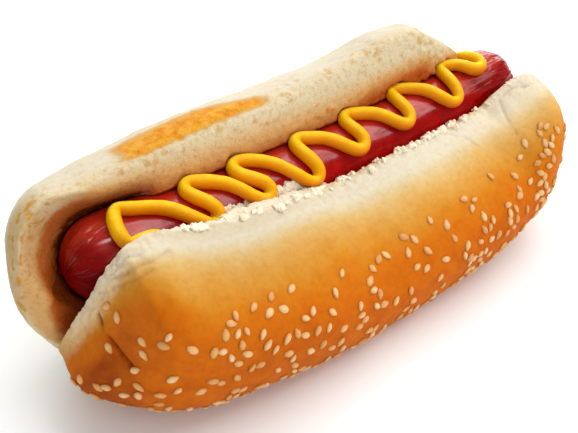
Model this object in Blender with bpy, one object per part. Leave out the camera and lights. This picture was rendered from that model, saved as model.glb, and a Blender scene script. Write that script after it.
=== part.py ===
# A hot dog: a soft roll slit along one side and opened like a book, a frankfurter lying in the
# opening, and one squeezed line of mustard folded back and forth along the top of it.
# +X runs along the roll, -Y is its seeded half, +Z is up and z = 0 is the table.
# Heights across a half are measured along its cut face, from the fold that joins the halves.
import bmesh
import bpy
import math
from mathutils import Vector

MM = 0.001
GAP = 0.35                    # clearance between neighbouring solids

# the frankfurter's middle, measured from the middle of the whole
MID_X, MID_Y = 2.15, 9.5

# frankfurter
SAUSAGE_R = 12.0
SAUSAGE_HALF = 78.0           # half its length
AXIS_Z = 35.5                 # height of its axis at the ends
SAG = 2.6                     # how far the middle hangs below the ends
RIGHT_RISE = 1.6              # extra lift of the right end
CAP = 13.5                    # length of each rounded end
RIGHT_SLIM = 0.10             # share of the radius lost towards the right end
PLEATS = 7                    # folds of the gathered casing at each end
PLEAT_DEPTH = 0.055           # their depth as a share of the radius
PLEAT_RUN = 12.0              # how far they reach along the casing
SAUSAGE_SIDES, SAUSAGE_RINGS = 28, 34

# roll: both halves stand on the fold line and lean away from each other
FOLD_Z = 5.0
ROLL_RINGS, DOME_POINTS, FACE_POINTS = 38, 18, 8
HOLLOW_EXTRA = 3.2            # the pressed hollow runs on past each end of the frankfurter

# seeded half: the rim rises at both ends and sags in the middle
FRONT_RIM = ((-85.5, 16.0), (-77.5, 32.0), (-69.0, 48.5), (-64.0, 49.5), (-50.0, 45.0),
             (-18.0, 38.6), (-4.0, 36.4), (18.0, 37.6), (52.0, 36.4), (61.0, 41.6),
             (68.0, 44.4), (75.0, 42.0), (80.0, 35.5), (83.5, 26.0))
FRONT_LEAN_MID, FRONT_LEAN_END = 24.0, 20.0
FRONT_THICK, FRONT_BLUNT = 36.6, 2.7
FRONT_SQUARE, FRONT_LIP = 2.4, 1.0

# plain half: upright, tallest near the right, where it ends short of the frankfurter
REAR_RIM = ((-87.8, 35.0), (-86.3, 42.5), (-83.0, 48.0), (-76.0, 52.0), (-60.0, 53.0),
            (-12.0, 53.5), (5.0, 55.0), (20.0, 57.5), (33.0, 59.3), (43.0, 58.0),
            (52.0, 51.0), (67.0, 36.0), (72.0, 26.0))
REAR_LEAN = 5.0
REAR_THICK, REAR_BLUNT = 21.0, 3.2
REAR_SQUARE, REAR_LIP = 3.0, 4.0

# mustard: the turns of its line, low and high in turn: x, the angle round the frankfurter
# (0 front, 90 top) and the way the turn points in the unrolled casing (0 right, 90 up)
BEAD_R = 1.72
BEAD_START, BEAD_END = (-56.2, 43.0), (59.2, 104.0)
BEAD_TURNS = ((-64.6, 44.5, -125.0), (-62.6, 88.5, 105.0), (-41.0, 30.0, -70.0),
              (-43.0, 87.5, 110.0), (-24.4, 32.5, -62.0), (-29.4, 83.0, 155.0),
              (-8.8, 27.5, -70.0), (-7.8, 86.0, 108.0), (8.9, 39.0, -70.0),
              (10.6, 90.5, 108.0), (27.2, 42.5, -70.0), (30.0, 96.0, 108.0),
              (46.6, 39.0, -70.0), (50.4, 96.5, 108.0), (61.6, 64.5, -60.0))
TURN_R = 2.45                 # radius of every turn
LEG_BOW = 0.09                # upward bow of a falling leg, as a share of its length
BEAD_STEP = 2.1


def smooth_table(table, x):
    """monotone cubic through (x, value) stations: no bumps between them"""
    xs = [row[0] for row in table]
    ys = [row[1] for row in table]
    last = len(xs) - 1
    x = min(max(x, xs[0]), xs[last])
    slope = [(ys[i + 1] - ys[i]) / (xs[i + 1] - xs[i]) for i in range(last)]
    tangent = [slope[0]] + [0.0] * (last - 1) + [slope[-1]]
    for i in range(1, last):
        if slope[i - 1] * slope[i] > 0:
            tangent[i] = 2 * slope[i - 1] * slope[i] / (slope[i - 1] + slope[i])
    i = max(k for k in range(last) if xs[k] <= x)
    h = xs[i + 1] - xs[i]
    t = (x - xs[i]) / h
    rise = 3 * t * t - 2 * t ** 3
    return (ys[i] * (1 - rise) + ys[i + 1] * rise
            + h * t * (1 - t) * (tangent[i] * (1 - t) - tangent[i + 1] * t))


def power(value, exponent):
    """signed power, for superellipse outlines"""
    return math.copysign(abs(value) ** exponent, value)


def loft(name, rings):
    """one closed skin over a row of rings, each end closed to a point in its middle"""
    mid = Vector((MID_X, MID_Y, 0.0))
    bm = bmesh.new()
    loops = []
    for ring in rings:
        verts = [bm.verts.new((Vector(p) + mid) * MM) for p in ring]
        loops.append([bm.edges.new((a, b)) for a, b in zip(verts, verts[1:] + verts[:1])])
    for near, far in zip(loops, loops[1:]):
        bmesh.ops.bridge_loops(bm, edges=near + far)
    for loop in (loops[0], loops[-1]):
        cap = bmesh.ops.contextual_create(bm, geom=loop)["faces"]
        bmesh.ops.poke(bm, faces=cap)
    bmesh.ops.recalc_face_normals(bm, faces=bm.faces)
    mesh = bpy.data.meshes.new(name)
    bm.to_mesh(mesh)
    bm.free()
    return link(name, mesh)


def link(name, mesh):
    ob = bpy.data.objects.new(name, mesh)
    bpy.context.collection.objects.link(ob)
    return ob


def combine(ob, other, operation):
    """applies one exact Boolean and drops the other object"""
    cut = ob.modifiers.new(operation.lower(), 'BOOLEAN')
    cut.operation, cut.object, cut.solver = operation, other, 'EXACT'
    graph = bpy.context.evaluated_depsgraph_get()
    mesh = bpy.data.meshes.new_from_object(ob.evaluated_get(graph))
    ob.modifiers.clear()
    ob.data = mesh
    bpy.data.objects.remove(other, do_unlink=True)


def drop_scraps(ob):
    """keeps the largest body: the cutters can free a crumb or two inside a turn of mustard"""
    bm = bmesh.new()
    bm.from_mesh(ob.data)
    bmesh.ops.remove_doubles(bm, verts=bm.verts, dist=0.02 * MM)
    left, bodies = set(bm.verts), []
    while left:
        stack = [left.pop()]
        body = set(stack)
        while stack:
            near = {v for e in stack.pop().link_edges for v in e.verts} & left
            left -= near
            body |= near
            stack.extend(near)
        bodies.append(body)
    scraps = [v for v in bm.verts if v not in max(bodies, key=len)]
    bmesh.ops.delete(bm, geom=scraps, context='VERTS')
    bm.to_mesh(ob.data)
    bm.free()


def finish(ob, colour, roughness):
    """smooth shading and the sub-part's own material"""
    mat = bpy.data.materials.new(ob.name + "_finish")
    mat.use_nodes = True
    shader = mat.node_tree.nodes["Principled BSDF"]
    shader.inputs["Base Color"].default_value = (*colour, 1.0)
    shader.inputs["Roughness"].default_value = roughness
    ob.data.materials.clear()
    ob.data.materials.append(mat)
    ob.data.shade_smooth()


def axis_z(x):
    """height of the frankfurter's axis"""
    u = x / SAUSAGE_HALF
    return AXIS_Z - SAG * (1 - u * u) + RIGHT_RISE * max(0.0, u) ** 2


def casing_radius(x, grow=0.0, longer=0.0):
    """radius at x, for the frankfurter or for the hollow it presses"""
    slim = RIGHT_SLIM * min(1.0, max(0.0, (x - 40.0) / 30.0)) ** 2
    into_cap = max(0.0, (abs(x) - (SAUSAGE_HALF + longer - CAP)) / CAP)
    return (SAUSAGE_R * (1 - slim) + grow) * math.sqrt(max(0.0, 1 - min(1.0, into_cap) ** 2.3))


def casing_rings(sides, count, grow=0.0, longer=0.0, pleat=0.0):
    """rings along the bent axis, closer together at the rounded ends"""
    half = SAUSAGE_HALF + longer
    rings = []
    for i in range(count):
        u = (2 * i + 1) / count - 1
        x = half * 0.999 * math.copysign(1 - (1 - abs(u)) ** 1.7, u)
        near_end = max(0.0, 1 - (half - abs(x)) / PLEAT_RUN) ** 1.5
        ring = []
        for k in range(sides):
            turn = 2 * math.pi * k / sides
            fold = (1 - math.cos(PLEATS * turn + 0.9 * x)) / 2
            r = casing_radius(x, grow, longer) * (1 - pleat * near_end * fold)
            ring.append((x, r * math.sin(turn), axis_z(x) + r * math.cos(turn)))
        rings.append(ring)
    return rings


def half_roll(name, side, rim, low_edge, lean_at, thick, blunt, square, lip):
    """one half of the roll: soft cut face inside, domed crust outside, thinning to both tips"""
    x_left, x_right = rim[0][0], rim[-1][0]
    rings = []
    for i in range(ROLL_RINGS):
        u = math.sin(math.pi * ((i + 0.35) / (ROLL_RINGS - 0.3) - 0.5))
        x = (x_left + x_right) / 2 + u * (x_right - x_left) / 2
        full = (1 - abs(u) ** blunt) ** (1 / blunt)
        low, high = low_edge(x), smooth_table(rim, x)
        middle, reach = (low + high) / 2, (high - low) / 2
        section = []
        for k in range(DOME_POINTS):
            turn = math.pi * k / DOME_POINTS
            section.append((middle + reach * power(math.cos(turn), 2 / square),
                            thick * full * math.sin(turn) ** (2 / square)))
        for k in range(FACE_POINTS):
            turn = math.pi * k / FACE_POINTS
            section.append((middle - reach * power(math.cos(turn), 0.4),
                            -lip * min(1.0, 1.6 * full) * math.sin(turn) ** 0.4))
        lean = math.radians(lean_at(x))
        rings.append([(x, side * (up * math.sin(lean) + out * math.cos(lean)),
                       FOLD_Z + up * math.cos(lean) - out * math.sin(lean))
                      for up, out in section])
    return loft(name, rings)


def front_low(x):
    """lower edge of the seeded half, lifting at both tips"""
    return 14.0 * max(0.0, (abs(x) - 62.0) / 23.0) ** 2


def front_lean(x):
    return FRONT_LEAN_MID + (FRONT_LEAN_END - FRONT_LEAN_MID) * min(1.0, (x / 60.0) ** 2)


def rear_low(x):
    """lower edge of the plain half: it hangs below the fold to reach the table"""
    if x < 0:
        return -6.0 + 32.0 * max(0.0, (-x - 45.0) / 42.8) ** 5
    return -6.0 + 14.0 * max(0.0, (x - 45.0) / 27.0) ** 2.5


def rear_lean(x):
    return REAR_LEAN


def bead_stations():
    """points of the line in the unrolled casing: three round each turn, one on each falling leg"""
    points = [Vector((BEAD_START[0], math.radians(BEAD_START[1]) * SAUSAGE_R))]
    for n, (x, angle, pointing) in enumerate(BEAD_TURNS):
        way = math.radians(pointing)
        high = n % 2 == 1
        centre = Vector((x, math.radians(angle) * SAUSAGE_R)) - TURN_R * Vector((math.cos(way), math.sin(way)))
        start, stop = (75, -75) if high or n == 0 else (-75, 75)
        arc = [centre + TURN_R * Vector((math.cos(way + a), math.sin(way + a)))
               for a in (math.radians(start), 0.0, math.radians(stop))]
        if not high and n:
            leg = arc[0] - points[-1]
            points.append(points[-1] + leg / 2 + Vector((0.0, LEG_BOW * leg.length)))
        points += arc
    return points + [Vector((BEAD_END[0], math.radians(BEAD_END[1]) * SAUSAGE_R))]


def bead_line():
    """the mustard's centre line: an even walk along a smooth curve laid on the casing"""
    points = bead_stations()
    fine = []
    for i in range(len(points) - 1):
        a, b = points[i], points[i + 1]
        before = points[max(i - 1, 0)]
        after = points[min(i + 2, len(points) - 1)]
        reach = (b - a).length / 3
        go_a = (b - before).normalized() * reach
        go_b = (after - a).normalized() * reach
        for s in range(16):
            t = s / 16
            fine.append(a * (1 - t) ** 3 + (a + go_a) * 3 * t * (1 - t) ** 2
                        + (b - go_b) * 3 * t * t * (1 - t) + b * t ** 3)
    fine.append(points[-1])
    placed = []
    for p in fine:
        angle = p.y / SAUSAGE_R
        r = casing_radius(p.x) + GAP + BEAD_R
        placed.append(Vector((p.x, -r * math.cos(angle), axis_z(p.x) + r * math.sin(angle))))
    lengths = [0.0]
    for a, b in zip(placed, placed[1:]):
        lengths.append(lengths[-1] + (b - a).length)
    steps = round(lengths[-1] / BEAD_STEP)
    line, k = [], 0
    for n in range(steps + 1):
        want = lengths[-1] * n / steps
        while k < len(placed) - 2 and lengths[k + 1] < want:
            k += 1
        line.append(placed[k].lerp(placed[k + 1], (want - lengths[k]) / (lengths[k + 1] - lengths[k])))
    return line


def bead(name, radius, resolution):
    """a round tube along the mustard's line, its two ends drawn in"""
    line = bead_line()
    curve = bpy.data.curves.new(name, 'CURVE')
    curve.dimensions = '3D'
    curve.bevel_depth = radius * MM
    curve.bevel_resolution = resolution
    curve.use_fill_caps = True
    spline = curve.splines.new('POLY')
    spline.points.add(len(line) - 1)
    for point, p in zip(spline.points, line):
        point.co = (*((p + Vector((MID_X, MID_Y, 0.0))) * MM), 1.0)
    spline.points[0].radius = spline.points[-1].radius = 0.55
    tube = bpy.data.objects.new(name, curve)
    bpy.context.collection.objects.link(tube)
    graph = bpy.context.evaluated_depsgraph_get()
    mesh = bpy.data.meshes.new_from_object(tube.evaluated_get(graph))
    bpy.data.objects.remove(tube, do_unlink=True)
    ob = link(name, mesh)
    bm = bmesh.new()
    bm.from_mesh(mesh)
    bmesh.ops.remove_doubles(bm, verts=bm.verts, dist=0.001 * MM)
    bmesh.ops.recalc_face_normals(bm, faces=bm.faces)
    bm.to_mesh(mesh)
    bm.free()
    return ob


def table_block():
    """everything below the table, to flatten the roll where it rests"""
    bpy.ops.mesh.primitive_cube_add(size=1.0)
    block = bpy.context.object
    for v in block.data.vertices:
        v.co = Vector((v.co.x * 400.0, v.co.y * 300.0, (v.co.z - 0.5) * 100.0)) * MM
    return block


def build_roll():
    roll = half_roll("bun", -1, FRONT_RIM, front_low, front_lean,
                     FRONT_THICK, FRONT_BLUNT, FRONT_SQUARE, FRONT_LIP)
    rear = half_roll("rear_half", 1, REAR_RIM, rear_low, rear_lean,
                     REAR_THICK, REAR_BLUNT, REAR_SQUARE, REAR_LIP)
    combine(roll, rear, 'UNION')
    combine(roll, loft("hollow", casing_rings(24, 26, GAP, HOLLOW_EXTRA)), 'DIFFERENCE')
    combine(roll, bead("groove", BEAD_R + GAP, 1), 'DIFFERENCE')
    combine(roll, table_block(), 'DIFFERENCE')
    drop_scraps(roll)
    finish(roll, (0.76, 0.44, 0.16), 0.62)


def build_sausage():
    rings = casing_rings(SAUSAGE_SIDES, SAUSAGE_RINGS, pleat=PLEAT_DEPTH)
    finish(loft("sausage", rings), (0.36, 0.02, 0.015), 0.28)


def build_mustard():
    finish(bead("mustard", BEAD_R, 2), (0.77, 0.33, 0.01), 0.35)


for old in list(bpy.data.objects):
    bpy.data.objects.remove(old, do_unlink=True)
build_roll()
build_sausage()
build_mustard()
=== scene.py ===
import math
import random
import bpy
import numpy as np
from mathutils import Matrix, Vector, noise


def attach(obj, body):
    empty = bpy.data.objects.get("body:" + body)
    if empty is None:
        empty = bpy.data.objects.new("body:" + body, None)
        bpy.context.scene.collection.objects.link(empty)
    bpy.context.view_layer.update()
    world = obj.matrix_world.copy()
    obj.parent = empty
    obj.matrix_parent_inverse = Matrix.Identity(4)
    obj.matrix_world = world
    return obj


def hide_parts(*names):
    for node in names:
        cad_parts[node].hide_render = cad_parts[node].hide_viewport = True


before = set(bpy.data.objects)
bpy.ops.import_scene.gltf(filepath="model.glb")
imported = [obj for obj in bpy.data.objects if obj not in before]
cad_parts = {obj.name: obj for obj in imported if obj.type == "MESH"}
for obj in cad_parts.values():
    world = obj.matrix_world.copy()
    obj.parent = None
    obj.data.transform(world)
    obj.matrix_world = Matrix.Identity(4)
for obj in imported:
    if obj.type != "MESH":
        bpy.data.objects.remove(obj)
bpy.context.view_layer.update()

# ------------------------------------------------------------------ roll
# A soft white roll slit along one side and opened like a book. Its front half wears the seeded,
# browned top crust, the rear half the plain side, and both cut faces are torn, open crumb.
# It is baked in one piece, so one skin runs from crust to crumb round the pressed hollow.
MM = 0.001
FOLD = (2.15, 9.5, 5.0)               # middle of the fold line; all sizes are in millimetres
FRONT_LEAN_MID, FRONT_LEAN_END, REAR_LEAN = 24.0, 20.0, 5.0  # degrees from upright
LEAN_CHANGE = 60.0                    # how far from the middle the front lean reaches its last value
FINE, SOFTEN = 0.5, 26                # size of the skin's facets, and passes that round it
ROLL_FACES = 95000


def paint(red, green, blue):
    """a colour named in 0 to 255 steps, as the shader takes it"""
    return tuple((c / 255 / 12.92) if c < 11 else ((c / 255 + 0.055) / 1.055) ** 2.4
                 for c in (red, green, blue)) + (1.0,)


def only(piece):
    """leaves nothing but this piece selected"""
    bpy.ops.object.select_all(action='DESELECT')
    piece.select_set(True)
    bpy.context.view_layer.objects.active = piece


def apply(piece, kind, **settings):
    """adds one modifier and applies it"""
    only(piece)
    modifier = piece.modifiers.new(kind.lower(), kind)
    for name, value in settings.items():
        setattr(modifier, name, value)
    bpy.ops.object.modifier_apply(modifier=modifier.name)


def copy_of(node, name):
    """a piece that starts as its CAD solid, with the loose triangles merged"""
    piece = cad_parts[node].copy()
    piece.data = piece.data.copy()
    piece.name = piece.data.name = name
    piece.parent = None
    for key in list(piece.keys()):
        del piece[key]
    bpy.context.scene.collection.objects.link(piece)
    only(piece)
    bpy.ops.object.mode_set(mode='EDIT')
    bpy.ops.mesh.select_all(action='SELECT')
    bpy.ops.mesh.remove_doubles(threshold=0.001 * MM)
    bpy.ops.object.mode_set(mode='OBJECT')
    piece.data.materials.clear()
    return piece


def points_of(piece):
    """every point of a mesh, in millimetres"""
    flat = np.zeros(3 * len(piece.data.vertices))
    piece.data.vertices.foreach_get("co", flat)
    return flat.reshape(-1, 3) / MM


def normals_of(piece):
    """which way the skin faces at every point"""
    flat = np.zeros(3 * len(piece.data.vertices))
    piece.data.vertices.foreach_get("normal", flat)
    return flat.reshape(-1, 3)


def move_points(piece, points):
    """puts every point of a mesh in a new place, given in millimetres"""
    piece.data.vertices.foreach_set("co", (points * MM).ravel())
    piece.data.update()


def rise(value, start, stop):
    """0 before start, 1 after stop, smooth between"""
    t = np.clip((value - start) / (stop - start), 0.0, 1.0)
    return t * t * (3 - 2 * t)


def cloud(points, size, layer=0.0):
    """soft lumps of one size, from -1 to 1"""
    shift = Vector((3.1, 7.7, 5.3)) * layer
    return np.array([noise.noise(Vector(p) + shift) for p in points / size])


def keep(piece, name, values):
    """stores one value per point, for the materials and the modifiers"""
    layer = piece.data.attributes.new(name, 'FLOAT', 'POINT')
    layer.data.foreach_set("value", np.clip(values, 0, 1).astype(np.float32))


WEIGHT_STEPS = 32


def weigh(piece, name, values):
    """a group of points, weighted in even steps, that holds a modifier to a part of the skin"""
    group = piece.vertex_groups.new(name=name)
    steps = np.round(np.clip(values, 0, 1) * WEIGHT_STEPS).astype(int)
    for step in range(1, WEIGHT_STEPS + 1):
        group.add(np.nonzero(steps == step)[0].tolist(), step / WEIGHT_STEPS, 'REPLACE')


def roughen(piece, kind, size, depth, group, **settings):
    """pushes the skin in and out by a procedural pattern"""
    texture = bpy.data.textures.new(group + kind.lower(), kind)
    texture.noise_scale = size * MM
    for name, value in settings.items():
        setattr(texture, name, value)
    apply(piece, 'DISPLACE', texture=texture, texture_coords='LOCAL', strength=depth * MM,
          mid_level=0.5, vertex_group=group)


def place_in_roll(points):
    """is a point on the rear half, how far along, up its cut face and out of it"""
    x, y, z = (points - FOLD).T
    between = math.radians((FRONT_LEAN_MID - REAR_LEAN) / 2)
    rear = y * math.cos(between) + z * math.sin(between) > 0
    toward_end = np.minimum(1, (x / LEAN_CHANGE) ** 2)
    front_lean = FRONT_LEAN_MID + (FRONT_LEAN_END - FRONT_LEAN_MID) * toward_end
    lean = np.radians(np.where(rear, REAR_LEAN, front_lean))
    y = np.where(rear, y, -y)
    return rear, x, y * np.sin(lean) + z * np.cos(lean), y * np.cos(lean) - z * np.sin(lean)


# the frankfurter that the roll is pressed round: height of its middle line at the ends, sag in
# the middle, lift of its right end, half its length and its radius
AXIS_Z, SAG, RIGHT_RISE, HALF_LENGTH, CASING_R = 35.5, 2.6, 1.6, 78.0, 12.0


def from_casing(points):
    """the way out from the frankfurter, which has round ends, and the distance from its skin"""
    along = points[:, 0] - FOLD[0]
    u = along / HALF_LENGTH
    axis = AXIS_Z - SAG * (1 - u * u) + RIGHT_RISE * np.maximum(0, u) ** 2
    beyond = np.sign(along) * np.maximum(0, abs(along) - HALF_LENGTH + CASING_R)
    spoke = np.stack([beyond, points[:, 1] - FOLD[1], points[:, 2] - axis], 1)
    far = np.linalg.norm(spoke, axis=1)
    return spoke / np.maximum(far, 0.1)[:, None], far - CASING_R


# crumb round the left tip: how near the casing it has settled against it, the gap that is left
# where they touch, the side on which the tip lies bare, and the steepness of the dent round it
NEST, TOUCH = 8.8, 0.2
OPEN_WAY = np.array((-0.5, -0.62, 0.6))
DENT_SLOPE = 3.0


def dented(points, share):
    """crumb pressed back in a shallow dent, so that the open side of the left tip lies bare"""
    outward, gap = from_casing(points)
    spoke = outward * (gap + CASING_R)[:, None]
    toward = spoke @ OPEN_WAY
    reach = np.linalg.norm(spoke - toward[:, None] * OPEN_WAY, axis=1)
    over = np.maximum(0, toward - DENT_SLOPE * np.maximum(0, reach - CASING_R)) * share
    points = points - over[:, None] * OPEN_WAY
    outward, gap = from_casing(points)
    return points + outward * (np.maximum(0, TOUCH - gap) * (share > 0))[:, None]


def ragged_edge(points):
    """how far a torn edge wavers, in and out"""
    return cloud(points, 2.2) + 0.6 * cloud(points, 0.9, 1)


REAR_LINE, FRONT_LINE = 0.6, 0.9      # how far out of its cut face each half is still crumb


def crumb_share(points, normals, soft):
    """1 where the skin is torn crumb, 0 where it is crust, with a ragged line between"""
    rear, along, up, out = place_in_roll(points)
    ragged = ragged_edge(points)
    line = np.where(rear, REAR_LINE + 2.4 * rise(-along, 74, 80),
                    FRONT_LINE - 4.4 * rise(-along, 56, 66))
    face = 1 - rise(out + 0.9 * ragged, line - soft, line + soft)
    outward, gap = from_casing(points)
    inward = 1 - rise((normals * outward).sum(1), -0.5, -0.1)
    tip = rear * rise(-along, 52, 60)
    touched = (1 - rise(gap, 1.4 + 4 * tip, 2.4 + 5 * tip)) * inward
    return np.maximum(face, np.maximum(touched, tip * (1 - rise(gap, 4.0, 6.0))))


def near_line(places, corners):
    """how far each place is from a line through a few corners"""
    best = np.full(len(places), 1e9)
    for start, stop in zip(np.array(corners), np.array(corners)[1:]):
        step = stop - start
        share = np.clip((places - start) @ step / (step @ step), 0, 1)
        best = np.minimum(best, np.linalg.norm(places - start - share[:, None] * step, axis=1))
    return best


# fuller and flatter places: middle from the fold line, reach along and across, and the push
SWELLS = (((-70, -36, 9), (27, 15), (-1.2, -2.6, -1.5)), ((55, -36, 18), (22, 16), (0.5, -1.4, -0.8)),
          ((73, -24, 36), (9, 16), (0.4, -0.5, 0.4)), ((-87, 3, 24), (14, 15), (-2.1, 0.1, -1.1)),
          ((-87, 3, 38), (14, 13), (-0.8, 0, -0.2)), ((19, 15, 60), (21, 14), (0, -0.8, -2.3)),
          ((46, 4, 60), (9, 10), (-1.0, -0.2, -1.0)), ((37, 12, 61), (8, 10), (0, -0.4, -1.3)),
          ((-70, 8, 57), (14, 12), (0.2, -0.3, -1.3)), ((-34, 10, 57), (26, 12), (0, 0.2, 1.5)),
          ((-84, -14, 14), (12, 14), (-0.9, -0.3, -0.7)), ((2, -39, 11), (26, 13), (0, 0.7, 0.5)),
          ((54, -25, 35), (8, 8), (0, -0.3, 1.9)), ((66, -24, 41), (7, 8), (0, 0.1, -0.8)),
          ((-85, 1.5, 12), (9, 6), (-0.9, 0.1, -0.8)), ((-87, -5.5, 14.5), (9, 6), (3.2, 0.3, 0)),
          ((-83, -7, 22), (8, 7), (0.9, 0, -0.2)))
# creases in the crust of the front half: depth and width, then places along, up and out
CREASES = ((1.2, 0.6, ((-77.8, 31.6, 4.2), (-77.6, 29.6, 8.4), (-77.6, 29.9, 12.6), (-76.8, 28.4, 18.0))),
           (0.5, 0.65, ((-73.0, 42.0, 3.0), (-70.7, 46.5, 5.2), (-66.5, 48.7, 6.6), (-61.6, 48.9, 5.9))),
           (0.4, 0.6, ((-74.0, 39.9, 4.0), (-71.8, 43.5, 6.0), (-69.9, 47.1, 8.1), (-67.4, 48.2, 8.4))),
           (0.35, 0.5, ((-73.0, 44.0, 0.2), (-66.5, 48.5, 0.6))),
           (0.3, 0.45, ((58.2, 39.6, 2.8), (56.2, 38.7, 8.4), (55.1, 38.1, 14.0))),
           (0.3, 0.45, ((36.6, 36.9, 1.8), (40.6, 36.6, 5.6), (43.0, 36.2, 10.4))),
           (0.4, 0.5, ((58.6, 39.8, 2.4), (62.7, 42.1, 2.2), (67.6, 43.8, 4.5))),
           (0.3, 0.45, ((65.0, 41.0, -0.4), (70.0, 41.0, 1.0))))
WANDER, CREASE_WANDER = 0.45, 0.6     # how far a fine fold strays, and a crease's share of that
FOLD_DEPTH = 0.3                      # of a fine fold
NEST_SOFTEN = 24                      # passes that round the crumb settled on the tip

# the skin: fine even facets, rounded, with the crumb settled against the frankfurter's left tip
roll = copy_of("bun", "roll")
apply(roll, 'REMESH', mode='VOXEL', voxel_size=FINE * MM)
apply(roll, 'SMOOTH', factor=0.5, iterations=SOFTEN)
points = points_of(roll)
rear, along, up, out = place_in_roll(points)
outward, gap = from_casing(points)
nest = rear * rise(-along, 50, 62) * rise(up, 6, 14)
closer = (gap - TOUCH) * (1 - rise(gap, 0.36 * NEST, NEST)) * nest
closer *= 1 - rise(outward @ OPEN_WAY, -0.1, 0.3)
beside_tip = rear * rise(-along, 48, 66)
move_points(roll, dented(points - outward * closer[:, None], beside_tip))
weigh(roll, "nest", nest * (1 - rise(gap, 0.8 * NEST, 1.2 * NEST)))
apply(roll, 'SMOOTH', factor=0.5, iterations=NEST_SOFTEN, vertex_group="nest")
points = dented(points_of(roll), beside_tip)

# swells, then creases and, toward both ends of the front half, fine folds
for (x, y, z), (reach_along, reach_across), push in SWELLS:
    away = (points - (FOLD[0] + x, FOLD[1] + y, z)) / (reach_along, reach_across, reach_across)
    points = points + np.exp(-2 * (away ** 2).sum(1))[:, None] * np.array(push)
rear, along, up, out = place_in_roll(points)
places = np.stack([along, up, out], 1)
crease = np.zeros(len(points))
wander = WANDER * np.stack([cloud(points, 2.6, k) for k in (12, 13, 14)], 1)
for depth, width, corners in CREASES:
    beside = near_line(places + CREASE_WANDER * wander, corners)
    crease += depth * np.exp(-(beside / width) ** 2) * ~rear
folds = abs(cloud(np.stack([along * 0.45, up * 0.45, out * 1.5], 1) + wander, 2.0, 7))
folds = FOLD_DEPTH * (1 - rise(folds, 0, 0.16)) * (1 - rise(out, 4, 10))
folds = folds * rise(abs(along), 54, 70) * ~rear
points = points - normals_of(roll) * (crease + folds)[:, None]
move_points(roll, points)

# the torn rim, roughest along the front half's cut edge
REAR_RIM, FRONT_RIM = -3.4, 0.4       # where each rim is roughest, out of its cut face
normals = normals_of(roll)
crumb = crumb_share(points, normals, np.where(rear, 2.5, 0.5))
ragged_end = rise(-along, 58, 68) * ~rear
rim = np.where(rear, REAR_RIM, FRONT_RIM + ragged_end)
torn = 1 - rise(abs(out - rim), 0.8 + ragged_end, 2.6 + 2 * ragged_end)
torn *= rise(up, 22, 30)
torn *= np.where(rear, 0.3 + 0.7 * rise(along, 30, 46),
                 (0.75 + 0.25 * rise(along, -64, -52)) * (1 - 0.7 * rise(along, 50, 58)))

# where the crumb lies in the hollow: pale outside, darker at the casing and low in the left pocket;
# partly browned crumb, partly painted shade
CONTACT_SHADE_AND_BROWN, SHADE_AND_BROWN_REACH = 0.85, 13.5  # share at the casing, and the gap over which it is lost
REAR_DARKEST, REAR_PALEST, FRONT_PALEST = 0.86, 0.08, 0.2
outward, gap = from_casing(points)
inward = 1 - rise((normals * outward).sum(1), -0.3, 0.2)
steep = 0.3 * rise(along, 5, 35) * (1 - rise(gap, 5, 12)) - 0.45 * rise(along, 40, 50)
by_contact = CONTACT_SHADE_AND_BROWN - (gap - 0.5) / SHADE_AND_BROWN_REACH
rear_shade_and_brown = np.minimum(by_contact + steep, REAR_DARKEST)
pale_from = 5.4 + 0.45 * np.maximum(0, 27 - up) + np.clip(0.8 * (up - 40), 0, 3.2)
# in the pocket round the left tip the crumb is painted darker lower down, as shade between the two halves
end_shade_and_brown = 1 - 0.1 * rise(up, 38, 46) - 0.1 * rise(gap, 2.5, 4.5) - 0.25 * rise(up, 45, 50)
end_shade_and_brown -= 0.45 * rise(gap + 0.4 * cloud(points, 2.4, 22), pale_from - 1.6, pale_from + 1.2)
end_shade_and_brown = np.minimum(end_shade_and_brown, 0.97 - 0.17 * rise(up, 24, 34))
inside = np.maximum(rise(-out, 1.0, 3.0), 1 - rise(gap, 4, 8))
rear_shade_and_brown += (end_shade_and_brown - rear_shade_and_brown) * rise(-along, 56, 70) * inside
front_shade_and_brown = np.minimum(np.maximum(by_contact, FRONT_PALEST), (38 - up) / 12)
hollow_shade_and_brown = np.where(rear, np.maximum(rear_shade_and_brown, REAR_PALEST), front_shade_and_brown)
# a painted contact shadow where the crumb lies close against the casing
hollow_shade_and_brown = np.maximum(np.clip(hollow_shade_and_brown, 0, 1), (1 - rise(gap, 1, 3)) * inward)
keep(roll, "hollow_shade_and_brown", hollow_shade_and_brown)
# painted shade in the creases and fine folds, kept for the material
keep(roll, "crease", 0.9 * crease ** 1.5 + 0.2 * folds)
weigh(roll, "crust", 1 - crumb)
weigh(roll, "crumb", crumb)
weigh(roll, "torn", torn)

# the front rim hangs over the hollow in a ragged fringe left of the middle, then the whole skin is
# roughened and set flat on the table
HANG_MIDDLE, HANG_FAR, HANG_UNEVEN = -22, 2.9, 1.4
hang = (1 - rise(abs(along - HANG_MIDDLE), 12, 24)) * (1 - rise(abs(out + 0.4), 0.8, 2.4))
hang *= rise(up, 34, 38)
points[:, 1] += np.where(rear, 0, hang) * (HANG_FAR + HANG_UNEVEN * cloud(points, 3.5, 5))
move_points(roll, points)
roughen(roll, 'CLOUDS', 14.0, 0.7, "crust", noise_depth=1)
roughen(roll, 'CLOUDS', 3.2, 0.3, "crust", noise_depth=2)
roughen(roll, 'CLOUDS', 2.4, 0.42, "crumb", noise_depth=3)
roughen(roll, 'VORONOI', 1.8, 0.24, "crumb")
roughen(roll, 'CLOUDS', 1.6, 1.3, "torn", noise_depth=2)
points = points_of(roll)
points[:, 2] = np.maximum(points[:, 2], 0)
move_points(roll, points)
apply(roll, 'DECIMATE', ratio=ROLL_FACES / len(roll.data.polygons))
roll.vertex_groups.clear()

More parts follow.
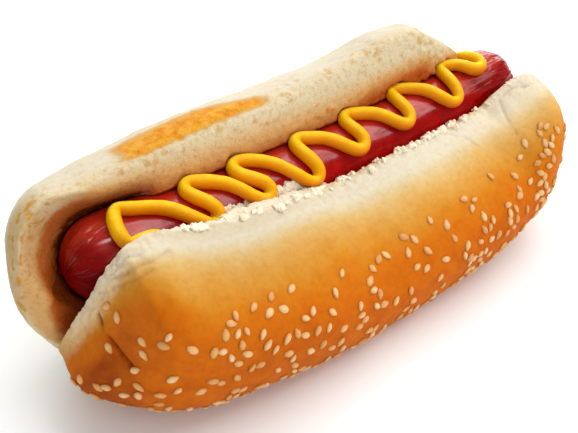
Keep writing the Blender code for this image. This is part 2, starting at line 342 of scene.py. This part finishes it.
# how brown the crust is baked, from the pale cut edge to the crown and the left end
BAKE_REACH = 36                       # out of the cut face, where front crust would be brownest
REAR_BAKE = 0.4                       # how much the rear half gains toward its back
points = points_of(roll)
rear, along, up, out = place_in_roll(points)
ragged = ragged_edge(points)
crumb = crumb_share(points, normals_of(roll), np.where(rear, 2.5, 0.35))
drift = cloud(points, 22, 2)
left_end = rise(-along, 60, 83)
front_bake = (out + 1.5 * drift - 4 * (1 - left_end)) / BAKE_REACH
front_bake = front_bake * (1 + 1.6 * left_end) + 0.1 * left_end
# painted shade: the front crust a little browner left of the middle, below the rim
front_bake += 0.03 * rise(-along, -10, 30) * (1 - rise(out, 14, 20))
front_bake = np.minimum(front_bake, 0.76 + 0.2 * rise(-along, 73, 81))
front_bake = np.maximum(front_bake, 0.05 * rise(along, -30, 10))
front_bake += 0.2 * rise(-along, 74, 82) * (1 - rise(up, 14, 27)) * (1 - rise(out, 4, 12))
rear_bake = 0.05 + REAR_BAKE * rise(out + 5 * drift + 1.5 * cloud(points, 7, 16), 9.0, 25.0)
rear_bake += 0.07 * rise(-along, 72, 84) * (1 - rise(out, 4, 9))
bake = np.where(rear, rear_bake, front_bake)

# painted shade: a greyer cast left of the middle and on the rear ridge; flour near the cut edge at the
# left end of the front half, and painted light at its right end
shaded = rise(-along, -15, 50) * (1 - rise(-along, 56, 66)) * (1 - 0.6 * rise(out, 12, 26))
shaded = np.where(rear, 0.3 * (1 - rise(out, 6, 11)), shaded)
# painted light: a paler patch at the right end, where the crust slopes away from the lamps
flour_and_painted_light = 0.65 * (1 - rise(abs(along - 60), 7, 14)) * (1 - rise(out, 6, 14))
by_edge = 0.85 * rise(-along, 60, 72) * (1 - rise(out + ragged, 2.5, 6.5))
flour_and_painted_light += by_edge * (0.3 + 0.7 * rise(up, 14, 27))
flour_and_painted_light *= ~rear

# toasted places of the rear half: the griddled strip, spots at the left end, flecks and a tan rim
STRIP_LEFT, STRIP_RIGHT, STRIP_LOW, STRIP_TOP = -59, -11, -1.9, 6.0
strip_top = STRIP_TOP - 4.0 * rise(along, -34, -12)
strip_low = STRIP_LOW + 0.5 * rise(along, -34, -12)
across, lengthways = out + 0.5 * ragged, along + ragged
strip = rise(across, strip_low - 0.8, strip_low + 0.8) * (
    1 - rise(across, strip_top - 1.6, strip_top + 1.6))
strip *= rise(lengthways, STRIP_LEFT, STRIP_LEFT + 5) * (
    1 - rise(lengthways, STRIP_RIGHT - 5, STRIP_RIGHT)) * rise(up, 48, 50)
spots = rise(cloud(points, 1.5, 6) + 0.2 * cloud(points, 7, 18), 0.02, 0.4)
spots *= rise(-along, 73, 79) * rise(up, 18, 26) * rise(out, -3.0, -1.6) * (1 - rise(out, 2.0, 5.0))
flecks = np.maximum(rise(up, 44, 48), rise(along, -18, 4) * rise(up, 41, 45)) * (1 - rise(out, 2, 6))
flecks *= rise(cloud(points, 1.8, 9) + 0.4 * cloud(points, 6.0, 23), 0.26, 0.6)
rim_tan = rise(-along, 76, 84) * rise(out, -3.0, -1.0) * (1 - rise(out, 3.5, 6.5)) * rise(up, 18, 26)
rim_tan *= 0.25 + 0.15 * cloud(points, 4.0, 24)
spots, rim_tan = np.array((spots, rim_tan)) * rise(from_casing(points)[1], 6.0, 9.0)
toast = np.maximum(strip, np.maximum(0.8 * spots, np.maximum(0.36 * flecks, rim_tan))) * rear
for name, values in (("crumb", crumb), ("bake", bake), ("toast", toast), ("shaded", shaded),
                     ("flour_and_painted_light", flour_and_painted_light)):
    keep(roll, name, values)
roll.data.shade_smooth()


def add(tree, kind, sockets=(), **settings):
    """one node: its settings by name, its sockets by name from values or other outputs"""
    node = tree.nodes.new(kind)
    for name, value in settings.items():
        setattr(node, name, value)
    for name, value in dict(sockets).items():
        if isinstance(value, bpy.types.NodeSocket):
            tree.links.new(value, node.inputs[name])
        else:
            node.inputs[name].default_value = value
    return node


def new_group(name, takes, gives):
    """an empty shader node group with named sockets, each (name, kind, default)"""
    tree = bpy.data.node_groups.new(name, 'ShaderNodeTree')
    for socket, kind, value in takes:
        made = tree.interface.new_socket(socket, in_out='INPUT', socket_type=kind)
        if value is not None:
            made.default_value = value
    for socket, kind in gives:
        tree.interface.new_socket(socket, in_out='OUTPUT', socket_type=kind)
    return tree, tree.nodes.new('NodeGroupInput').outputs, tree.nodes.new('NodeGroupOutput').inputs


def ramp(tree, factor, *stops):
    """a colour ramp through (position, colour) stops"""
    node = add(tree, 'ShaderNodeValToRGB', {'Fac': factor})
    band = node.color_ramp.elements
    while len(band) < len(stops):
        band.new(1.0)
    for element, (position, colour) in zip(band, stops):
        element.position, element.color = position, colour
    return node.outputs['Color']


def mix(tree, factor, a, b, blend='MIX'):
    """two colours mixed by a factor"""
    node = add(tree, 'ShaderNodeMix', data_type='RGBA', blend_type=blend)
    for socket, value in ((node.inputs[0], factor), (node.inputs[6], a), (node.inputs[7], b)):
        if isinstance(value, bpy.types.NodeSocket):
            tree.links.new(value, socket)
        else:
            socket.default_value = value
    return node.outputs[2]


def sums(tree, operation, a, b, clamp=False):
    """one sum of two numbers"""
    node = add(tree, 'ShaderNodeMath', {0: a, 1: b}, operation=operation, use_clamp=clamp)
    return node.outputs[0]


def times(tree, a, b, clamp=False):
    return sums(tree, 'MULTIPLY', a, b, clamp)


def kept(tree, name):
    """a value that is stored on every point of the skin"""
    return add(tree, 'ShaderNodeAttribute', attribute_name=name).outputs["Fac"]


def grit(tree, place, scale, detail):
    """fine noise, scale to the metre"""
    return add(tree, 'ShaderNodeTexNoise', {"Vector": place, "Scale": scale,
                                            "Detail": detail}).outputs["Fac"]


def raise_grain(tree, shader, height, strength, depth):
    """gives the finish a relief, depth in millimetres"""
    bump = add(tree, 'ShaderNodeBump', {"Height": height, "Strength": strength,
                                        "Distance": depth * MM})
    tree.links.new(bump.outputs["Normal"], shader["Normal"])


# mottling: soft patches of one size, as a mask
MOTTLE, takes, gives = new_group(
    "mottling", (("Place", 'NodeSocketVector', None), ("Size", 'NodeSocketFloat', 5.0),
                 ("Least", 'NodeSocketFloat', 0.4), ("Most", 'NodeSocketFloat', 0.6)),
    (("Mask", 'NodeSocketFloat'),))
size = sums(MOTTLE, 'DIVIDE', 1000.0, takes["Size"])
lumps = add(MOTTLE, 'ShaderNodeTexNoise', {"Vector": takes["Place"], "Scale": size,
                                           "Detail": 4.0, "Roughness": 0.6})
spread = add(MOTTLE, 'ShaderNodeMapRange', {"Value": lumps.outputs["Fac"], "From Min": takes["Least"],
                                            "From Max": takes["Most"]}, interpolation_type='SMOOTHSTEP')
MOTTLE.links.new(spread.outputs["Result"], gives["Mask"])


def mottle(tree, place, size, least=0.4, most=0.6):
    """the mottling group in one material, with patches of one size in millimetres"""
    node = add(tree, 'ShaderNodeGroup', node_tree=MOTTLE)
    tree.links.new(place, node.inputs["Place"])
    for name, value in (("Size", size), ("Least", least), ("Most", most)):
        node.inputs[name].default_value = value
    return node.outputs["Mask"]


def new_material(name):
    """a material, its node tree, its Principled shader and the Object coordinates"""
    material = bpy.data.materials.new(name)
    material.use_nodes = True
    tree = material.node_tree
    place = add(tree, 'ShaderNodeTexCoord').outputs["Object"]
    return material, tree, tree.nodes["Principled BSDF"].inputs, place


# crust and crumb of the roll
bread, tree, shader, place = new_material("baked_bread")
baked = kept(tree, "bake")
opened = kept(tree, "crumb")
toasted = kept(tree, "toast")
patchy = times(tree, sums(tree, 'SUBTRACT', mottle(tree, place, 7.0, 0.3, 0.7), 0.5), 0.16)
uneven = times(tree, patchy, baked)
crust = ramp(tree, sums(tree, 'ADD', baked, uneven, True),
             (0.0, paint(212, 199, 172)), (0.05, paint(215, 205, 183)), (0.09, paint(213, 200, 168)),
             (0.19, paint(211, 176, 111)), (0.29, paint(209, 158, 80)), (0.39, paint(205, 142, 50)),
             (0.5, paint(203, 123, 22)), (0.62, paint(202, 110, 12)), (0.74, paint(200, 102, 8)),
             (1.0, paint(156, 68, 5)))
freckles = times(tree, mottle(tree, place, 1.5, 0.4, 0.7), 0.4)
crust = mix(tree, freckles, crust, paint(240, 226, 200), 'MULTIPLY')
tanned = times(tree, mottle(tree, place, 4.5, 0.4, 0.65), times(tree, baked, 0.6))
crust = mix(tree, tanned, crust, paint(242, 214, 178), 'MULTIPLY')
# painted shade, multiplied over the crust
shade = kept(tree, "shaded")
crust = mix(tree, shade, crust, paint(239, 237, 236), 'MULTIPLY')
# flour at the left end, and painted light at the right end
flour_and_light = kept(tree, "flour_and_painted_light")
crust = mix(tree, times(tree, flour_and_light, 0.6), crust, paint(234, 216, 184))
# the crumb darkens into the hollow: browned crumb with painted shade and warm bounce from the casing
shade_and_brown = kept(tree, "hollow_shade_and_brown")
inside = ramp(tree, shade_and_brown, (0.0, paint(226, 214, 188)), (0.08, paint(211, 194, 158)),
              (0.25, paint(210, 180, 134)), (0.5, paint(204, 154, 92)), (0.65, paint(192, 132, 72)),
              (0.78, paint(186, 104, 46)), (0.86, paint(172, 82, 24)), (1.0, paint(126, 48, 7)))
pores = times(tree, mottle(tree, place, 1.4, 0.5, 0.7), 0.3)
inside = mix(tree, pores, inside, paint(196, 134, 70), 'MULTIPLY')
pale_spots = mottle(tree, place, 2.4, 0.45, 0.75)
outer = sums(tree, 'SUBTRACT', 1.0, shade_and_brown, True)
paler = times(tree, times(tree, pale_spots, 0.16), outer)
inside = mix(tree, paler, inside, paint(232, 216, 184))
# painted shade in the creases
crease_shade = kept(tree, "crease")
crust = mix(tree, times(tree, crease_shade, 0.75, True), crust, paint(180, 108, 50), 'MULTIPLY')
skin = mix(tree, opened, crust, inside)
scorch = ramp(tree, mottle(tree, place, 2.2, 0.3, 0.75),
              (0.0, paint(216, 158, 52)), (0.5, paint(211, 138, 16)), (1.0, paint(198, 114, 4)))
warmed = times(tree, toasted, 2.0, True)
skin = mix(tree, warmed, skin, paint(238, 204, 146), 'MULTIPLY')
browned = sums(tree, 'SUBTRACT', times(tree, toasted, 2.0), 1.0, True)
tree.links.new(mix(tree, browned, skin, scorch), shader["Base Color"])
shader["Roughness"].default_value = 0.6
shader["Specular IOR Level"].default_value = 0.06
height = times(tree, grit(tree, place, 1400.0, 5.0), sums(tree, 'ADD', 0.25, opened))
raise_grain(tree, shader, height, 0.5, 0.6)
roll.data.materials.append(bread)
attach(roll, "root")
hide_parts("bun")

# ------------------------------------------------------------------ frankfurter
# A smoked frankfurter in a thin natural casing, glossy with its own fat. The casing is twisted
# off at both ends, so it gathers there in fine pleats, and it has shrunk into wrinkles.
WRINKLE, END_WRINKLE, RIPPLE = 0.12, 0.3, 0.1  # depths: all along, at the ends, fine lumps
END_SHRINK, PLEAT_DEPTH = 0.15, 0.21  # how much thinner both ends are, how deep their pleats
TIP_FULLER, TIP_LUMPS = 0.5, 0.32     # how much fuller and lumpier the right tip is
RIGHT_TIP_PUSH = (1.3, -0.3, 0.3)


def round_out(piece, levels):
    """pairs the solid's triangles and divides them into a finer, rounder skin"""
    only(piece)
    bpy.ops.object.mode_set(mode='EDIT')
    bpy.ops.mesh.select_all(action='SELECT')
    bpy.ops.mesh.tris_convert_to_quads()
    bpy.ops.object.mode_set(mode='OBJECT')
    apply(piece, 'SUBSURF', levels=levels, render_levels=levels)


sausage = copy_of("sausage", "frankfurter")
round_out(sausage, 3)
points = points_of(sausage)
x = points[:, 0] - FOLD[0]
outward = from_casing(points)[0]
turn = np.arctan2(outward[:, 2], -outward[:, 1])
wrapped = np.stack([x / 14, np.cos(turn) * 2.6, np.sin(turn) * 2.6], 1)
wrinkle = cloud(wrapped, 1.0) + 0.5 * cloud(wrapped, 0.5, 3)
ends = np.maximum(rise(x, 34, 66), rise(-x, 52, 74))
gathered = wrapped * (0.45, 1, 1)
pleats = np.abs(cloud(gathered, 0.24, 6)) / (1 + abs(cloud(wrapped, 0.7, 15)) * 3)
pleats = (1 - rise(pleats, 0.0, 0.1)) * np.maximum(rise(-x, 58, 72), 0.7 * rise(x, 40, 60))
upper = rise(outward[:, 2], 0.14, 0.74)
pleats *= 1 - 0.45 * upper * rise(-x, 40, 60)
ripple = cloud(np.stack([x / 5, turn * 4.5, 0 * x], 1), 1.0, 17)
grow = wrinkle * (WRINKLE + END_WRINKLE * ends) - END_SHRINK * ends
grow = grow - PLEAT_DEPTH * pleats + RIPPLE * ripple
grow += TIP_LUMPS * rise(x, 44, 64) * cloud(gathered, 0.42, 21)
right_tip = rise(x, 60, 78)
points = points + outward * (grow + TIP_FULLER * right_tip)[:, None]
points = points + right_tip[:, None] * RIGHT_TIP_PUSH
move_points(sausage, points)
keep(sausage, "ends", ends)
keep(sausage, "pleats", pleats)
keep(sausage, "wet", upper * (1 - 0.55 * rise(x, 44, 56) * (1 - rise(x, 63, 71))))
# the top of the casing, where a lighter red is painted as light falling on it
keep(sausage, "top", rise(outward[:, 2], 0.72, 0.96))
# darker ends from smoke, and painted shade on the underside of the left tip
keep(sausage, "smoke_and_shade", 0.2 * ends + 0.75 * rise(-x, 60, 74) * (1 - upper))
sausage.data.shade_smooth()
casing, tree, shader, place = new_material("smoked_casing")
ends = kept(tree, "ends")
blush = mix(tree, mottle(tree, place, 9.0, 0.35, 0.65), paint(152, 3, 2), paint(174, 8, 5))
casing_tone = mix(tree, times(tree, mottle(tree, place, 3.0, 0.4, 0.7), 0.4), blush, paint(112, 1, 1))
pleat_shade = kept(tree, "pleats")
# smoke darkens the ends; the underside of the left tip carries painted shade
smoke_and_shade = kept(tree, "smoke_and_shade")
casing_tone = mix(tree, smoke_and_shade, casing_tone, paint(112, 1, 1))
# painted shade in the pleats
casing_tone = mix(tree, times(tree, pleat_shade, 0.6), casing_tone, paint(76, 1, 1))
dull = add(tree, 'ShaderNodeMapRange', {"Value": ends, "To Min": 0.34, "To Max": 0.5})
tree.links.new(dull.outputs["Result"], shader["Roughness"])
wet = kept(tree, "wet")
top = kept(tree, "top")
# painted light: a lighter, warmer red on top, under the gloss
casing_tone = mix(tree, times(tree, top, 0.4), casing_tone, paint(206, 58, 34))
tree.links.new(casing_tone, shader["Base Color"])
streaked = add(tree, 'ShaderNodeVectorMath', {0: place, 1: (0.3, 1.0, 1.0)},
               operation='MULTIPLY').outputs[0]
greasy = add(tree, 'ShaderNodeMapRange', {"Value": mottle(tree, streaked, 1.6, 0.35, 0.6),
                                          "To Min": 0.55, "To Max": 1.0}).outputs["Result"]
tree.links.new(times(tree, wet, greasy), shader["Coat Weight"])
shader["Specular IOR Level"].default_value = 0.03
shader["Coat Roughness"].default_value = 0.2
shader["Coat IOR"].default_value = 1.6
raise_grain(tree, shader, grit(tree, place, 520.0, 4.0), 0.42, 0.5)
sausage.data.materials.append(casing)
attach(sausage, "root")
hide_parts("sausage")

# ------------------------------------------------------------------ mustard
# One line of yellow mustard squeezed from a bottle in a zigzag. The paste holds a round bead of
# slightly uneven thickness and spreads a little where it sits on the casing.
SINK, SPREAD = 0.5, 0.35              # how far it sinks on to the casing, and spreads at the foot
FULLER, UNEVEN, FINE_UNEVEN = 0.22, 0.26, 0.08  # of the bead's thickness
LIT_WAY = np.array((0.0, 0.5, 0.87))  # the way from which the bead is painted lighter, as light falling from above and behind
mustard = copy_of("mustard", "mustard_line")
round_out(mustard, 2)
points, normals = points_of(mustard), normals_of(mustard)
swell = FULLER + UNEVEN * cloud(points, 9.0) + FINE_UNEVEN * cloud(points, 2.5, 4)
outward = from_casing(points)[0]
facing = (normals * outward).sum(1)
foot = np.clip(-facing + 0.3, 0, 1)
sideways = normals - outward * facing[:, None]
points = points + normals * swell[:, None] - outward * SINK + sideways * (SPREAD * foot)[:, None]
move_points(mustard, points)
keep(mustard, "lit_side", 0.5 + 0.5 * normals @ LIT_WAY)
mustard.data.shade_smooth()
paste, tree, shader, place = new_material("mustard_paste")
height = kept(tree, "lit_side")
# painted light and shade: orange underneath, pale yellow on the side that faces up and back
body = ramp(tree, height, (0.0, paint(190, 84, 0)), (0.25, paint(211, 117, 0)),
            (0.6, paint(230, 164, 0)), (0.85, paint(245, 196, 6)), (1.0, paint(255, 226, 50)))
grainy = times(tree, mottle(tree, place, 1.6, 0.35, 0.7), 0.3)
tree.links.new(mix(tree, grainy, body, paint(216, 130, 0)), shader["Base Color"])
shader["Roughness"].default_value = 0.36
shader["Specular IOR Level"].default_value = 0.13
shader["Subsurface Weight"].default_value = 0.15
shader["Subsurface Radius"].default_value = (1.0, 0.5, 0.1)
shader["Subsurface Scale"].default_value = 1.0 * MM
mustard.data.materials.append(paste)
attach(mustard, "root")
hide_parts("mustard")

# ------------------------------------------------------------------ sesame seeds
# Hulled sesame seeds stuck to the browned half before baking: flat drops about 3 mm long, sunk
# two fifths into the crust, few on the crown and crowded along its lower edge and ends.
SEED_LONG, SEED_WIDE, SEED_THICK, SEED_LIFT = 3.0, 2.0, 1.1, 0.1
SEED_COUNT, SEED_GAP = 300, 1.9
BARE_EDGE = 18                        # how near the cut face the crust is bare, but for both ends


def scatter(piece, share, count, gap, seed):
    """picks spots on a skin: more where share is high, never closer than gap"""
    faces = piece.data.polygons
    middle, normal, size = np.zeros(3 * len(faces)), np.zeros(3 * len(faces)), np.zeros(len(faces))
    faces.foreach_get("center", middle)
    faces.foreach_get("normal", normal)
    faces.foreach_get("area", size)
    middle, normal = middle.reshape(-1, 3) / MM, normal.reshape(-1, 3)
    odds = size * share(middle, normal)
    order = np.random.default_rng(seed).choice(len(faces), 8 * count, p=odds / odds.sum())
    taken = []
    for i in order:
        if len(taken) < count and all(np.linalg.norm(middle[i] - spot) > gap for spot, way in taken):
            taken.append((middle[i], normal[i]))
    return taken


def set_down(piece, spot, up_way, spin, tilt, scale, lift, name):
    """one copy of a small piece, with its own mesh, laid on a spot of the skin"""
    copy = piece.copy()
    copy.data = piece.data.copy()
    copy.name = name
    bpy.context.scene.collection.objects.link(copy)
    lay = Vector(up_way).to_track_quat('Z', 'X').to_matrix().to_4x4()
    place = Matrix.Translation(Vector(spot + up_way * lift) * MM) @ lay
    copy.data.transform(place @ Matrix.Rotation(spin, 4, 'Z') @ Matrix.Rotation(tilt, 4, 'X')
                        @ Matrix.Diagonal((*scale, 1)))
    return copy


def join_all(pieces, name):
    """many small pieces made one"""
    bpy.ops.object.select_all(action='DESELECT')
    for piece in pieces:
        piece.select_set(True)
    bpy.context.view_layer.objects.active = pieces[0]
    bpy.ops.object.join()
    pieces[0].name = pieces[0].data.name = name
    pieces[0].data.shade_smooth()
    return pieces[0]


def seed_share(middle, normal):
    """how thickly the seeds lie"""
    rear, along, up, out = place_in_roll(middle)
    left = rise(-along, 66, 78)
    right = rise(along, 30, 42)
    start = BARE_EDGE - 10 * left - 4 * right
    crowd = 0.26 * rise(out, start, start + 4) + 0.74 * rise(out, start + 8, start + 15)
    crowd += 0.35 * right * rise(out, start + 1, start + 5) + 0.25 * left * rise(out, 4, 7)
    clumps = 0.25 + 1.4 * rise(cloud(middle, 6.5, 8) + 0.15 * rise(-along, 74, 79), -0.1, 0.45)
    return np.where(rear | (out < 2.5), 0, crowd * clumps) * rise(middle[:, 2], 1.5, 5)


bpy.ops.object.select_all(action='DESELECT')
bpy.ops.mesh.primitive_uv_sphere_add(segments=10, ring_count=6, radius=0.5 * MM)
seed_form = bpy.context.object
bpy.ops.object.mode_set(mode='EDIT')
bpy.ops.mesh.select_all(action='SELECT')
bpy.ops.transform.rotate(value=math.pi / 2, orient_axis='Y', center_override=(0, 0, 0))
bpy.ops.transform.resize(value=(SEED_LONG, SEED_WIDE, SEED_THICK))
bpy.ops.object.mode_set(mode='OBJECT')
# one end drawn in, as a drop's is
for point in seed_form.data.vertices:
    point.select = point.co.x > 0.3 * MM
for part in (*seed_form.data.edges, *seed_form.data.polygons):
    part.select = False
bpy.ops.object.mode_set(mode='EDIT')
bpy.ops.mesh.select_mode(type='VERT')
bpy.ops.transform.resize(value=(0.95, 0.8, 0.84))
bpy.ops.object.mode_set(mode='OBJECT')
# each seed darker toward its rim: partly a toasted edge, partly painted shade where it meets the crust
height = points_of(seed_form)[:, 2] / (SEED_THICK / 2)
keep(seed_form, "rim", 1 - rise(height, 0.1, 0.95))
dice = random.Random(11)
seeds = []
for spot, way in scatter(roll, seed_share, SEED_COUNT, SEED_GAP, 4):
    grown = dice.uniform(0.84, 1.12)
    seeds.append(set_down(seed_form, spot, way, dice.uniform(0, 2 * math.pi), dice.uniform(-0.2, 0.2),
                          (grown, grown * dice.uniform(0.9, 1.08), dice.uniform(0.85, 1.15)),
                          SEED_LIFT, "seed"))
    keep(seeds[-1], "tan", np.full(len(seed_form.data.vertices), dice.random()))
bpy.data.objects.remove(seed_form)
seeds = join_all(seeds, "sesame_seeds")
husk, tree, shader, place = new_material("toasted_sesame")
tan = kept(tree, "tan")
rim = kept(tree, "rim")
shell = ramp(tree, tan, (0.0, paint(228, 194, 142)), (0.6, paint(222, 172, 110)),
             (1.0, paint(208, 146, 78)))
flecks = times(tree, mottle(tree, place, 0.9, 0.45, 0.7), 0.4)
shell = mix(tree, flecks, shell, paint(208, 152, 88))
# the rim: toasted, with painted shade where the seed meets the crust
shell = mix(tree, times(tree, rim, 0.85), shell, paint(192, 116, 44))
tree.links.new(shell, shader["Base Color"])
shader["Roughness"].default_value = 0.45
shader["Specular IOR Level"].default_value = 0.25
raise_grain(tree, shader, grit(tree, place, 2200.0, 2.0), 0.3, 0.2)
seeds.data.materials.append(husk)
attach(seeds, "root")

# ------------------------------------------------------------------ loose crumbs
# Scraps of soft crumb pulled loose when the roll was torn open. They cling in clumps along the
# torn front rim, and left of the middle they have spilled on to the casing.
RIM_CRUMBS, SPILLED_CRUMBS, CRUMB_GAP, CRUMB_FINE = 230, 230, 0.6, 0.26


def rim_share(middle, normal):
    """how thickly the crumbs lie along the front rim"""
    rear, along, up, out = place_in_roll(middle)
    edge = (1 - rise(abs(out - 0.1), 0.5, 1.5)) * rise(up, 30, 35) * rise(along, -64, -50)
    edge = edge * (1 - 0.85 * rise(along, 48, 58))
    clumps = 0.1 + rise(cloud(middle, 4.0, 11), 0.0, 0.4)
    return np.where(rear, 0, edge * clumps)


def spill_share(middle, normal):
    """how thickly they lie on the casing beside it"""
    along = middle[:, 0] - FOLD[0]
    turn = np.degrees(np.arctan2(normal[:, 2], -normal[:, 1]))
    return (1 - rise(abs(along + 26), 15, 21)) * (1 - rise(abs(turn - 24 + 0.1 * along), 7, 15))


crumbs = []
for number, (skin, share, count, low, high) in enumerate((
        (roll, rim_share, RIM_CRUMBS, 0.8, 2.3), (sausage, spill_share, SPILLED_CRUMBS, 1.1, 2.5))):
    bpy.ops.object.select_all(action='DESELECT')
    bpy.ops.mesh.primitive_ico_sphere_add(subdivisions=2, radius=0.5 * MM)
    form = bpy.context.object
    for spot, way in scatter(skin, share, count, CRUMB_GAP, 20 + number):
        size = low + (high - low) * dice.random() ** 1.6
        crumbs.append(set_down(form, spot, way, dice.uniform(0, 6.3), dice.uniform(-0.6, 0.6),
                               (size * dice.uniform(1.0, 1.9), size, size * dice.uniform(0.5, 0.9)),
                               0.02 * size, "crumb"))
    bpy.data.objects.remove(form)
crumbs = join_all(crumbs, "loose_crumbs")
apply(crumbs, 'REMESH', mode='VOXEL', voxel_size=CRUMB_FINE * MM)
weigh(crumbs, "all", np.ones(len(crumbs.data.vertices)))
roughen(crumbs, 'CLOUDS', 0.9, 1.2, "all", noise_depth=2)
roughen(crumbs, 'CLOUDS', 0.45, 0.3, "all", noise_depth=1)
crumbs.data.shade_smooth()
flake, tree, shader, place = new_material("white_crumb")
creamy = mix(tree, mottle(tree, place, 2.4, 0.5, 0.8), paint(240, 228, 204), paint(228, 204, 164))
tree.links.new(creamy, shader["Base Color"])
shader["Roughness"].default_value = 0.85
shader["Specular IOR Level"].default_value = 0.05
raise_grain(tree, shader, grit(tree, place, 1800.0, 4.0), 0.6, 0.3)
crumbs.data.materials.append(flake)
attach(crumbs, "root")

# ------------------------------------------------------------------ table, light and camera
# A pale matt table in a bright room, with softboxes above, in front and behind. Two of them are
# cards that show only as highlights on the glossy skin. The hot dog stands by itself.
FLOOR_SIDE = 6.0                      # in metres, as the softboxes' sizes and distances are
MIDDLE = Vector((0, 0, 0.03))         # of the hot dog, which every softbox faces
ROOM_LIGHT, ROOM_MIRRORED = 0.55, 0.03  # how bright the room is, and how bright in the gloss
bpy.ops.object.select_all(action='DESELECT')
bpy.ops.mesh.primitive_plane_add(size=FLOOR_SIDE, location=(0, 0, 0))
floor = bpy.context.object
floor.name = "table_top"
board, tree, shader, place = new_material("pale_table")
shader["Base Color"].default_value = paint(246, 248, 248)
shader["Roughness"].default_value = 0.6
floor.data.materials.append(board)


def area_light(name, toward, distance, width, depth, watts):
    """a softbox that faces the hot dog from one direction"""
    way = Vector(toward).normalized()
    bpy.ops.object.light_add(type='AREA', location=way * distance + MIDDLE)
    light = bpy.context.object
    light.name = name
    light.rotation_euler = way.to_track_quat('Z', 'Y').to_euler()
    light.data.shape, light.data.size, light.data.size_y = 'RECTANGLE', width, depth
    light.data.energy = watts


area_light("overhead_softbox", (0.54, -0.02, 0.84), 2.2, 2.7, 1.6, 44.0)
area_light("front_fill", (0.05, -0.9, 0.38), 2.4, 1.4, 2.4, 20.0)
bpy.context.object.visible_glossy = False
area_light("back_light", (0.25, 0.8, 0.6), 2.4, 1.2, 2.2, 21.0)
area_light("back_card", (0.66, 0.70, 0.26), 2.4, 2.4, 0.9, 24.0)
bpy.context.object.visible_diffuse = False
area_light("left_card", (-0.12, -0.12, 0.98), 2.4, 1.1, 0.9, 20.0)
bpy.context.object.visible_diffuse = False
world = bpy.data.worlds.new("bright_room")
bpy.context.scene.world = world
world.use_nodes = True
sky = world.node_tree.nodes["Background"].inputs
sky["Color"].default_value = (1, 1, 1, 1)
mirrored = add(world.node_tree, 'ShaderNodeLightPath').outputs["Is Glossy Ray"]
dim = add(world.node_tree, 'ShaderNodeMapRange', {"Value": mirrored, "To Min": ROOM_LIGHT,
                                                  "To Max": ROOM_MIRRORED})
world.node_tree.links.new(dim.outputs["Result"], sky["Strength"])

CAMERA_AT = Vector((-135.91, -150.85, 176.05)) * MM
AZIMUTH, ELEVATION = math.radians(38.8), math.radians(37.1)
LENS, SENSOR, NEAREST = 56.055, 36.0, 0.01
level = math.cos(ELEVATION)
back = Vector((-math.sin(AZIMUTH) * level, -math.cos(AZIMUTH) * level, math.sin(ELEVATION)))
right = Vector((math.cos(AZIMUTH), -math.sin(AZIMUTH), 0))
bpy.ops.object.camera_add(location=CAMERA_AT)
camera = bpy.context.object
camera.rotation_euler = Matrix((right, back.cross(right), back)).transposed().to_euler()
camera.data.lens, camera.data.sensor_width, camera.data.clip_start = LENS, SENSOR, NEAREST
bpy.context.scene.camera = camera
bpy.context.scene.view_settings.view_transform = 'Standard'

bpy.context.view_layer.update()
